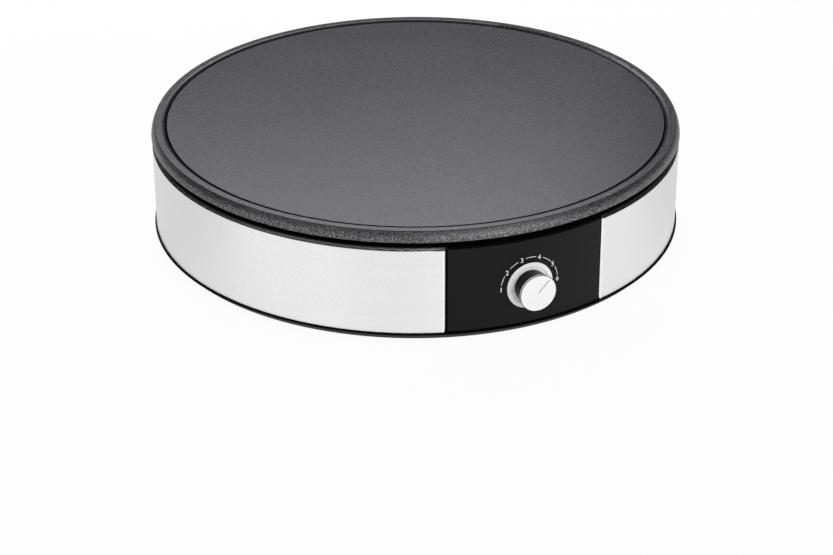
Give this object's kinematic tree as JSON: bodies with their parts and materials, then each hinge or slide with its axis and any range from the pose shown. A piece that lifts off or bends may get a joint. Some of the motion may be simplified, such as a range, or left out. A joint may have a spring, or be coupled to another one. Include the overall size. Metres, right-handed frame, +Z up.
{
  "type": "electric crepe maker",
  "caption": "Countertop crepe maker: a round flat cast plate with a catch groove on a low drum with a steel band, a front control panel and one turning temperature knob.",
  "frame": {"origin": "on the table under the plate's centre, level with the undersides of the feet", "axes": "+Z up, -Y towards the knob and the person cooking, +Y towards the cord gland, +X to the right"},
  "size_m": [0.3481, 0.3639, 0.075],
  "materials": {
    "coated_plate": "cast aluminium with a dark grey non-stick coating",
    "brushed_steel": "stainless sheet, fine grain round the drum",
    "satin_metal": "satin metal",
    "dial_print": "white pad print, for the dial's numbers and arcs",
    "black_moulding": "fine grained heat-resistant moulding",
    "panel_moulding": "satin black",
    "knob_moulding": "glossy black",
    "gland_moulding": "plain black",
    "foot_rubber": "matt rubber",
    "element_sheath": "dull heat-tinted steel sheath",
    "plated_sheet": "zinc-plated sheet",
    "plated_metal": "plated, turned",
    "plated_screw": "zinc plated",
    "brass_fitting": "bare brass",
    "copper_tube": "drawn copper",
    "thermostat_case": "moulded thermosetting resin",
    "ceramic_part": "unglazed white ceramic",
    "lead_brown": "silicone insulation",
    "lead_blue": "silicone insulation",
    "lead_green": "silicone insulation"
  },
  "bodies": {
    "drum": {"cooking_plate": "coated_plate", "heating_element": "element_sheath", "heat_shield": "plated_sheet", "plate_screws": "plated_screw", "clamp_screws": "plated_screw", "clip_screws": "plated_screw", "base_screws": "plated_screw", "thermostat_screws": "plated_screw", "earth_screw": "plated_screw", "side_band": "brushed_steel", "housing_shell": "black_moulding", "base_pan": "black_moulding", "control_panel": "panel_moulding", "dial_dish": "satin_metal", "thermostat_bush": "brass_fitting", "thermostat_bracket": "plated_sheet", "thermostat_body": "thermostat_case", "thermostat_tab_left": "brass_fitting", "thermostat_tab_right": "brass_fitting", "sensor_bulb": "copper_tube", "capillary_tube": "copper_tube", "bulb_clip": "plated_sheet", "fuse_clip": "plated_sheet", "thermal_fuse": "ceramic_part", "cord_gland": "gland_moulding", "terminal_block": "ceramic_part", "live_lead": "lead_brown", "fuse_lead": "lead_brown", "element_lead": "lead_brown", "neutral_lead": "lead_blue", "earth_lead": "lead_green", "earth_tab": "brass_fitting", "element_seal_left": "ceramic_part", "element_tab_left": "brass_fitting", "element_seal_right": "ceramic_part", "element_tab_right": "brass_fitting", "element_clamp_1": "plated_sheet", "element_clamp_2": "plated_sheet", "element_clamp_3": "plated_sheet", "element_clamp_4": "plated_sheet", "element_clamp_5": "plated_sheet", "spacer_1": "plated_metal", "foot_1": "foot_rubber", "spacer_2": "plated_metal", "foot_2": "foot_rubber", "spacer_3": "plated_metal", "foot_3": "foot_rubber", "spacer_4": "plated_metal", "foot_4": "foot_rubber", "terminal_insert_1": "brass_fitting", "terminal_insert_2": "brass_fitting", "terminal_insert_3": "brass_fitting"},
    "knob": {"knob_body": "knob_moulding", "knob_cap": "satin_metal", "thermostat_shaft": "plated_metal"}
  },
  "joints": [
    {"name": "knob_turn", "type": "hinge", "parent": "drum", "child": "knob", "pos_m": [0, -0.17275, 0.0317], "axis": [0, 1, 0], "range_deg": [-132.75, 45.75]}
  ]
}
